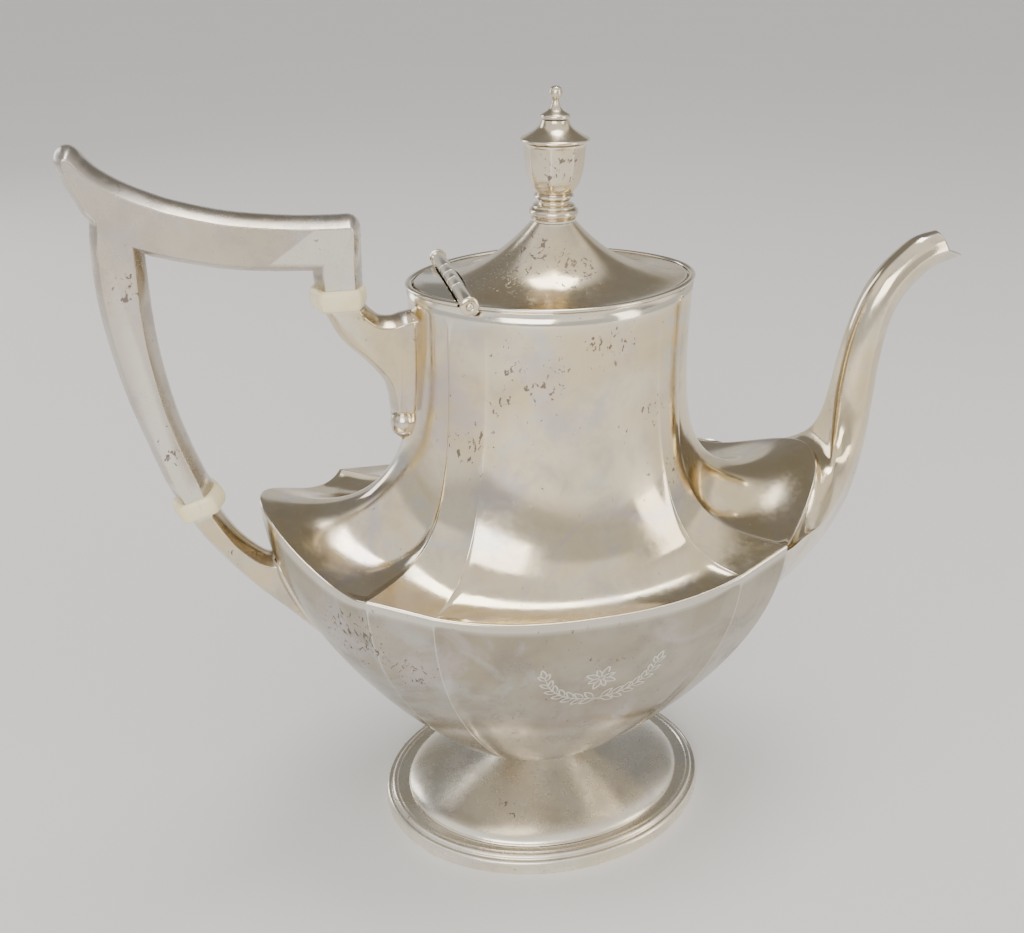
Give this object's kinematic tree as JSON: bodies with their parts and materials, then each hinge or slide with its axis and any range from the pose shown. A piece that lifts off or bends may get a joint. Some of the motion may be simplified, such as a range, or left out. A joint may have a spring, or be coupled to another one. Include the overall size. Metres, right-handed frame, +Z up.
{
  "type": "coffee pot",
  "caption": "Panelled silver coffee pot on an oval foot, with an angular insulated handle, a slender curved spout and a hinged domed lid with an urn finial.",
  "frame": {"origin": "on the surface the pot stands on, under the middle of its whole length", "axes": "+X towards the spout, -X towards the handle, +Y to the left of somebody looking along the spout, +Z up"},
  "size_m": [0.2638, 0.1082, 0.245],
  "materials": {
    "body_silver": "polished silver with a warm tarnish film and small dark specks",
    "handle_silver": "polished silver, hand worn, with a warm tarnish film",
    "lid_silver": "polished silver with a yellowish tarnish film and dark specks",
    "insulator_ivory": "smooth cream ivory-like insulator, lightly polished",
    "peg_silver": "dull silver pegs filed flush",
    "lid_fastener": "unpolished silver screw, washer and nut inside the lid"
  },
  "bodies": {
    "pot": {"foot_rim": "body_silver", "foot_dome": "body_silver", "bowl": "body_silver", "upper_body": "body_silver", "mouth_rim": "body_silver", "mouth_rim_behind_hinge": "body_silver", "spout": "body_silver", "upper_socket": "body_silver", "upper_socket_plate": "body_silver", "upper_socket_bud": "body_silver", "lower_socket": "body_silver", "lower_socket_flange": "body_silver", "hinge_plate": "body_silver", "hinge_knuckle_front": "body_silver", "hinge_knuckle_middle": "body_silver", "hinge_knuckle_back": "body_silver", "hinge_pin": "body_silver", "handle_front_half": "handle_silver", "handle_back_half": "handle_silver", "upper_insulator": "insulator_ivory", "lower_insulator": "insulator_ivory", "upper_insulator_handle_peg": "peg_silver", "upper_insulator_socket_peg": "peg_silver", "lower_insulator_handle_peg": "peg_silver", "lower_insulator_socket_peg": "peg_silver"},
    "lid": {"lid": "lid_silver", "lid_bezel": "lid_silver", "lid_knuckle_front": "lid_silver", "lid_knuckle_back": "lid_silver", "finial_collar": "lid_silver", "finial_urn": "lid_silver", "finial_cap": "lid_silver", "finial_knop": "lid_silver", "finial_stud": "lid_fastener", "finial_nut": "lid_fastener", "finial_washer": "lid_fastener"}
  },
  "joints": [
    {"name": "lid_hinge", "type": "hinge", "parent": "pot", "child": "lid", "pos_m": [-0.03285, 0, 0.1937], "axis": [0, -1, 0], "range_deg": [0, 84]}
  ]
}
